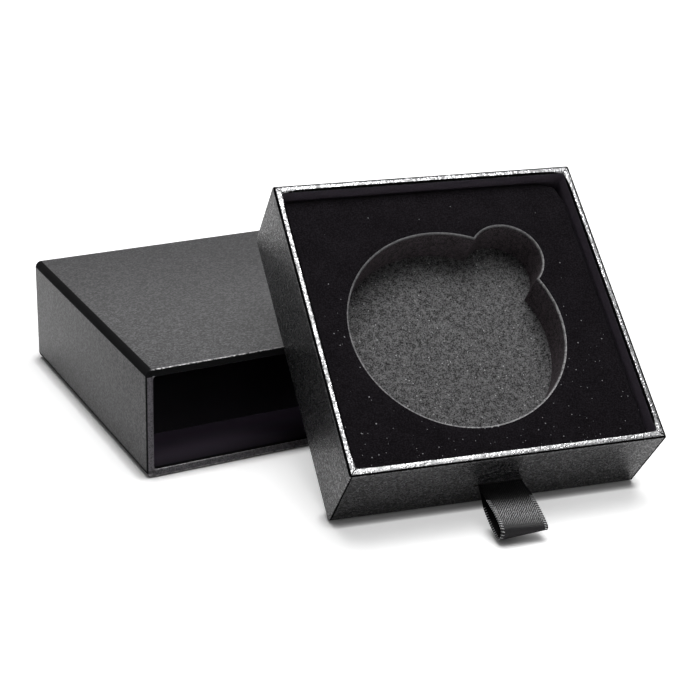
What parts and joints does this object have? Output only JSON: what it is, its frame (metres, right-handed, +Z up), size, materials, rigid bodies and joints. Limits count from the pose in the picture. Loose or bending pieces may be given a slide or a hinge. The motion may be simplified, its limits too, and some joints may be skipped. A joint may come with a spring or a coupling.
{
  "type": "coin capsule box",
  "caption": "Paper-wrapped sliding drawer box with a die-cut foam recess for a round coin capsule and a ribbon pull; the drawer leans on its sleeve.",
  "frame": {"origin": "centre of the sleeve's underside, the face that it stands on", "axes": "+Z up; +Y into the sleeve's depth, so its mouth faces -Y; +X to the right as seen from the mouth"},
  "size_m": [0.1284, 0.161, 0.0722],
  "materials": {
    "wrap_paper": "satin",
    "lining_paper": "matte",
    "greyboard": "matte",
    "gummed_tape": "matte",
    "foam": "matte",
    "flock": "matte",
    "satin": "satin"
  },
  "bodies": {
    "sleeve": {"sleeve_top_board": "greyboard", "sleeve_bottom_board": "greyboard", "sleeve_left_board": "greyboard", "sleeve_right_board": "greyboard", "sleeve_back_board": "greyboard", "sleeve_wrap": "wrap_paper", "sleeve_lining": "lining_paper", "sleeve_back_paper": "wrap_paper", "sleeve_base_sheet": "wrap_paper"},
    "tray": {"tray_floor_board": "greyboard", "tray_front_board": "greyboard", "tray_back_board": "greyboard", "tray_left_board": "greyboard", "tray_right_board": "greyboard", "corner_stay_front_left": "gummed_tape", "corner_stay_front_right": "gummed_tape", "corner_stay_back_left": "gummed_tape", "corner_stay_back_right": "gummed_tape", "tray_wrap": "wrap_paper", "foam_base": "foam", "ribbon_tails": "satin"},
    "insert": {"foam_insert": "foam", "insert_flock": "flock"},
    "ribbon": {"ribbon_loop": "satin"}
  },
  "joints": [
    {"name": "tray_lift", "type": "slide", "parent": "sleeve", "child": "tray", "axis": [-0.0972, -0.596, 0.7971], "range_m": [0, 0.12]},
    {"name": "insert_lift", "type": "slide", "parent": "tray", "child": "insert", "axis": [-0.0972, -0.596, 0.7971], "range_m": [0, 0.025]},
    {"name": "ribbon_swing", "type": "hinge", "parent": "tray", "child": "ribbon", "pos_m": [0.0291, -0.09836, 0.00859], "axis": [-0.987, 0.1609, 0], "range_deg": [-5, 40]}
  ]
}
